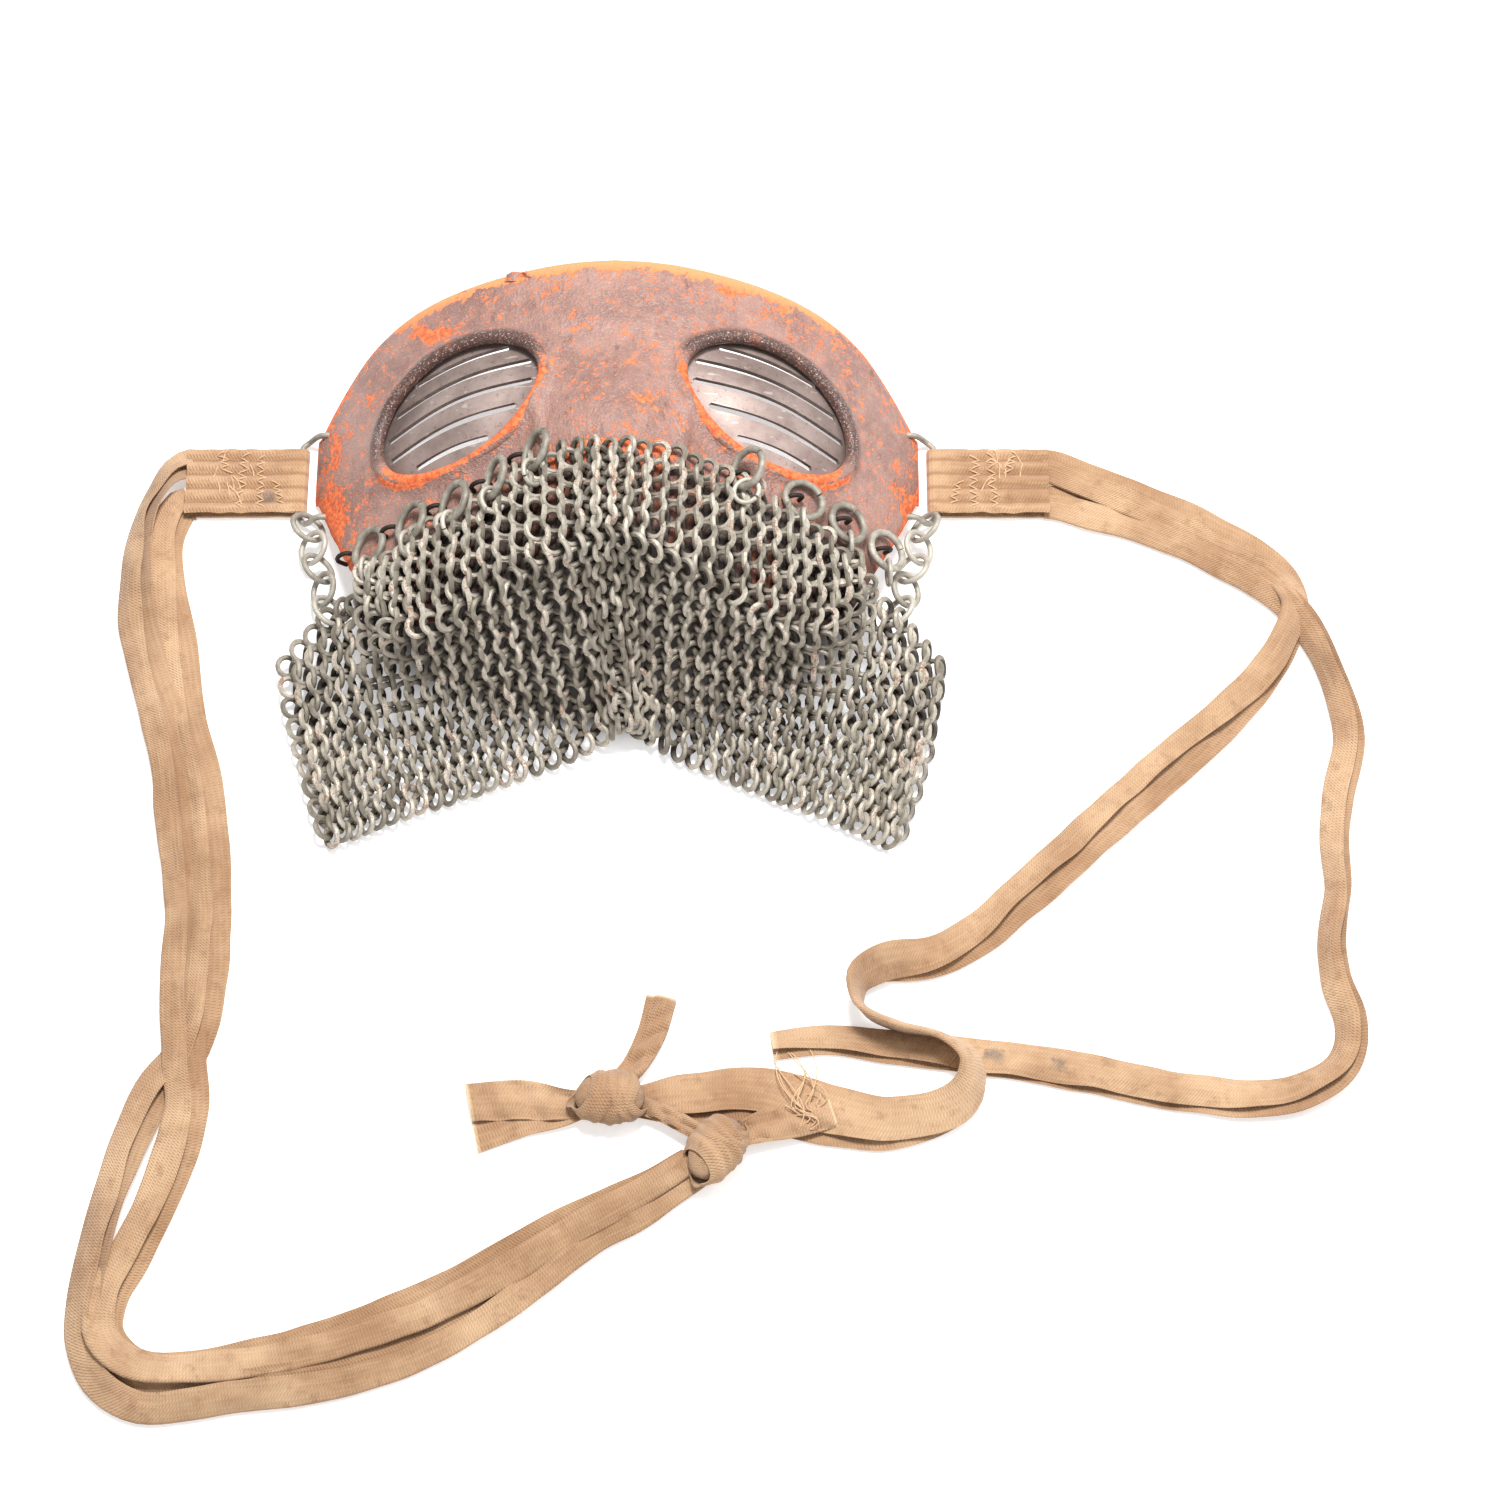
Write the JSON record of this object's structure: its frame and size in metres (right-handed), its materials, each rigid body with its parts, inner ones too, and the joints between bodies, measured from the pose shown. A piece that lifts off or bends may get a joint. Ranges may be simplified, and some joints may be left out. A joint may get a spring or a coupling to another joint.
{
  "type": "splatter mask",
  "caption": "Leather-covered steel face mask with slotted eyes, a hanging mail curtain, side chains and cotton tie tapes, lying face up on a flat surface.",
  "frame": {"origin": "middle of the box round the plate, cover, rings, chains and mail, on the floor they lie on", "axes": "+X across the face to the wearer's left as worn, +Y up the face to the forehead, +Z out of the face, up from the floor"},
  "size_m": [0.3993, 0.3671, 0.0728],
  "materials": {
    "steel": "dull grey-brown steel, softly worn",
    "leather": "aged mauve-brown leather rubbed through to orange",
    "wire": "dark grey oxidised steel wire",
    "mail": "warm grey oxidised steel links",
    "tape": "sand cotton twill tape, soiled and creased"
  },
  "bodies": {
    "root": {"steel_plate": "steel", "leather_cover": "leather", "mail_curtain": "mail", "strap_loop_left": "wire", "side_chain_left": "wire", "strap_loop_right": "wire", "side_chain_right": "wire", "ring_left_1": "wire", "staple_left_1": "wire", "ring_left_2": "wire", "staple_left_2": "wire", "ring_left_3": "wire", "staple_left_3": "wire", "ring_left_4": "wire", "staple_left_4": "wire", "ring_left_5": "wire", "staple_left_5": "wire", "ring_right_1": "wire", "staple_right_1": "wire", "ring_right_2": "wire", "staple_right_2": "wire", "ring_right_3": "wire", "staple_right_3": "wire", "ring_right_4": "wire", "staple_right_4": "wire", "tape_left_upper": "tape", "tape_left_lower": "tape", "tape_right_upper": "tape", "tape_right_lower": "tape", "tape_tail_up": "tape", "tape_tail_flared": "tape", "tape_tail_frayed": "tape", "tape_link": "tape", "tape_end_left": "tape", "tape_end_right": "tape", "knot_left": "tape", "knot_right": "tape"}
  },
  "joints": []
}
